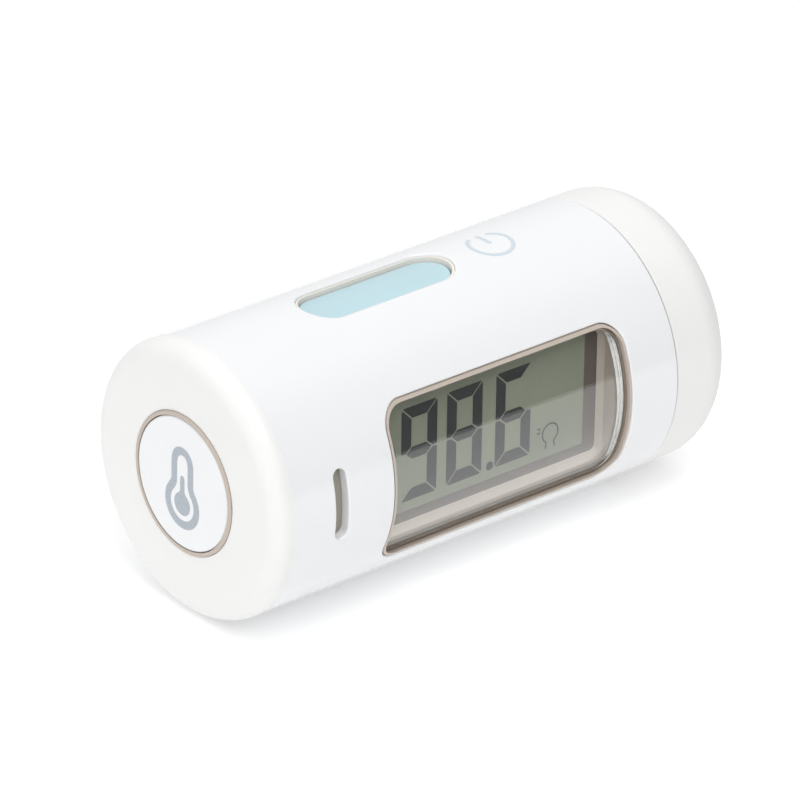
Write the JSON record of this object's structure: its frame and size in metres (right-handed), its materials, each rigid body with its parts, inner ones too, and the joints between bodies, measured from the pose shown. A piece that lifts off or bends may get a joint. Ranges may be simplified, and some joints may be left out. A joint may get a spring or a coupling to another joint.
{
  "type": "digital ear thermometer",
  "caption": "Compact round-barrel infrared ear thermometer with curved display window, power button, rear scan button, pull-off probe cap and battery door.",
  "frame": {"origin": "middle of the whole object, on the axis of the round barrel", "axes": "+X along the barrel from the scan button to the probe cap, -Y out of the display, +Z out of the power button"},
  "size_m": [0.0786, 0.038, 0.038],
  "materials": {
    "white_gloss": "glossy moulded white plastic",
    "white_matte": "fine matte white plastic",
    "beige_plastic": "satin grey-beige plastic",
    "beige_rubber": "soft grey-beige silicone",
    "key_blue": "satin light blue plastic",
    "clear_lens": "clear polished acrylic",
    "smoked_lens": "smoked translucent acrylic",
    "lcd_cell": "grey-green liquid crystal cell",
    "reflector_white": "white light guide",
    "elastomer_strip": "layered conductive rubber",
    "seal_rubber": "black nitrile rubber",
    "frame_plastic": "ivory moulded plastic",
    "circuit_board": "green solder mask on glass-fibre board",
    "component_black": "black moulded resin",
    "component_tan": "tan ceramic with tinned ends",
    "led_clear": "clear resin",
    "screw_steel": "zinc-plated steel",
    "nickel": "nickel-plated steel",
    "can_steel": "plain steel can",
    "aluminium_block": "turned aluminium",
    "gold_plate": "gold-plated brass",
    "infrared_window": "dark polished infrared window",
    "probe_grey": "smooth pale grey plastic",
    "ribbon_amber": "amber polyimide film"
  },
  "bodies": {
    "body": {"housing": "white_gloss", "rear_cap": "white_matte", "rear_cap_seal": "seal_rubber", "scan_button_ring": "beige_rubber", "scan_switch": "component_black", "rear_board": "circuit_board", "rear_board_screws": "screw_steel", "buzzer": "component_black", "key_surround": "beige_plastic", "balance_weight": "can_steel", "power_switch": "component_black", "display_lens": "clear_lens", "display_bezel": "beige_plastic", "lcd_panel": "lcd_cell", "lcd_backlight": "reflector_white", "lcd_connectors": "elastomer_strip", "display_frame": "frame_plastic", "indicator_lens": "smoked_lens", "indicator_led": "led_clear", "main_board": "circuit_board", "board_screws": "screw_steel", "microcontroller": "component_black", "crystal": "can_steel", "chip_components": "component_tan", "board_header": "component_black", "battery_tray": "frame_plastic", "battery_contact_negative": "nickel", "battery_contact_positive": "nickel", "front_collar": "beige_plastic", "cap_grip_ring": "seal_rubber", "probe_cone": "probe_grey", "probe_screws": "screw_steel", "sensor_holder": "aluminium_block", "thermopile_sensor": "can_steel", "sensor_leads": "gold_plate", "sensor_board": "circuit_board", "sensor_ribbon": "ribbon_amber", "waveguide_tube": "gold_plate", "probe_window": "infrared_window", "probe_tip_ring": "aluminium_block"},
    "power_key": {"power_button": "key_blue"},
    "power_plunger": {"power_switch_stem": "component_black"},
    "scan_key": {"scan_button": "white_gloss"},
    "scan_plunger": {"scan_switch_stem": "component_black"},
    "cap": {"probe_cap": "white_matte"},
    "door": {"battery_door": "white_matte", "battery_door_seal": "seal_rubber"},
    "cell": {"coin_cell": "nickel"},
    "rear_screw": {"door_screw_rear": "screw_steel"},
    "front_screw": {"door_screw_front": "screw_steel"}
  },
  "joints": [
    {"name": "power_button_press", "type": "slide", "parent": "body", "child": "power_key", "axis": [0, 0, -1], "range_m": [0, 0.0006], "stiffness_N_per_m": 2000, "springref_m": -0.0004},
    {"name": "power_switch_travel", "type": "slide", "parent": "body", "child": "power_plunger", "axis": [0, 0, -1], "range_m": [0, 0.0006]},
    {"name": "scan_button_press", "type": "slide", "parent": "body", "child": "scan_key", "axis": [1, 0, 0], "range_m": [0, 0.0006], "stiffness_N_per_m": 2500, "springref_m": -0.0004},
    {"name": "scan_switch_travel", "type": "slide", "parent": "body", "child": "scan_plunger", "axis": [1, 0, 0], "range_m": [0, 0.0006]},
    {"name": "probe_cap_pull", "type": "slide", "parent": "body", "child": "cap", "axis": [1, 0, 0], "range_m": [0, 0.03]},
    {"name": "battery_door_lift", "type": "slide", "parent": "body", "child": "door", "axis": [0, 1, 0], "range_m": [0, 0.03]},
    {"name": "coin_cell_lift", "type": "slide", "parent": "body", "child": "cell", "axis": [0, 1, 0], "range_m": [0, 0.015]},
    {"name": "rear_screw_turn", "type": "hinge", "parent": "door", "child": "rear_screw", "pos_m": [-0.01365, 0.017, 0], "axis": [0, 1, 0], "range_deg": [0, 1080]},
    {"name": "front_screw_turn", "type": "hinge", "parent": "door", "child": "front_screw", "pos_m": [0.01105, 0.017, 0], "axis": [0, 1, 0], "range_deg": [0, 1080]}
  ],
  "couplings": [
    {"joint": "power_switch_travel", "follows": "power_button_press", "ratio": 1},
    {"joint": "scan_switch_travel", "follows": "scan_button_press", "ratio": 1},
    {"joint": "coin_cell_lift", "follows": "battery_door_lift", "ratio": 0.5}
  ]
}
